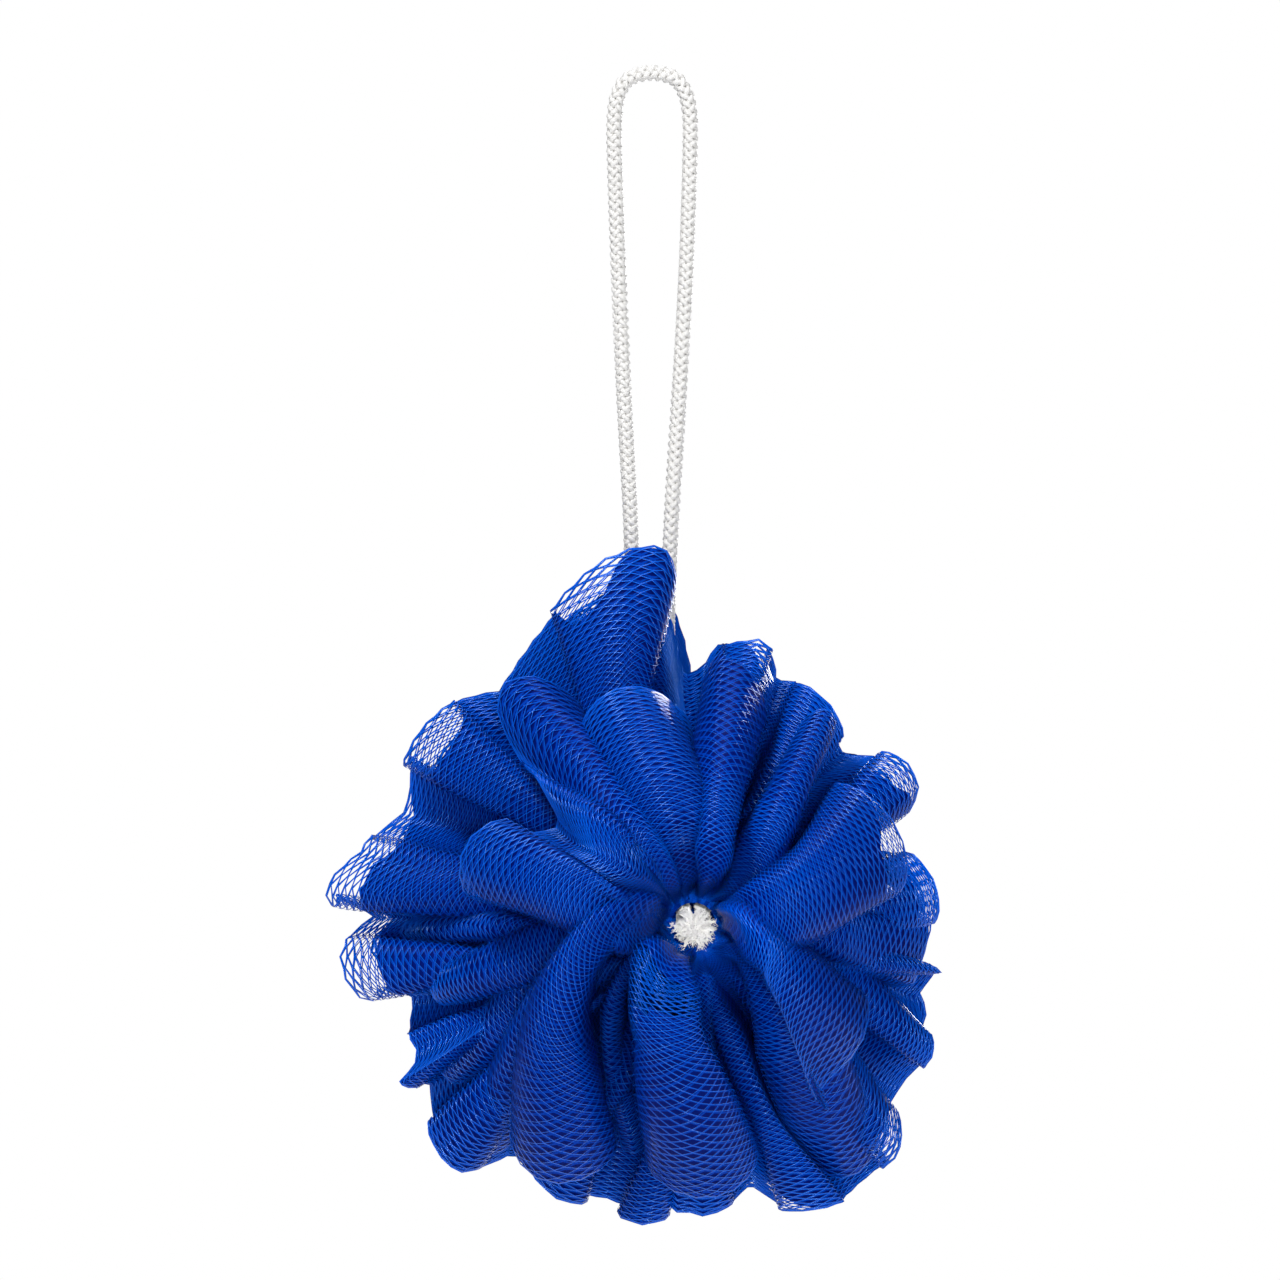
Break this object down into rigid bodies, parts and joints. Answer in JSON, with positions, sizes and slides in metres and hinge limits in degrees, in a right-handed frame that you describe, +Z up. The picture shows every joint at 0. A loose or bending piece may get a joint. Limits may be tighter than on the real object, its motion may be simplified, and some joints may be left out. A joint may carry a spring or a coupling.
{
  "type": "mesh bath pouf",
  "caption": "Round bath pouf of gathered net folds on a long braided hanging loop, with the cord's cut knot at the front of the gathers.",
  "frame": {"origin": "inside the crown of the hanging loop, where a hook carries the pouf", "axes": "+Z up, away from the pouf; the knot and the gathers' front face -Y; +X to the right as seen from the front"},
  "size_m": [0.1254, 0.1049, 0.2354],
  "materials": {
    "netting": "semi-gloss polyethylene net",
    "cord": "smooth braided cord",
    "cord_ends": "frayed cut fibre"
  },
  "bodies": {
    "root": {"mesh_ruffle": "netting", "hanging_cord": "cord", "cord_knot": "cord_ends"}
  },
  "joints": []
}
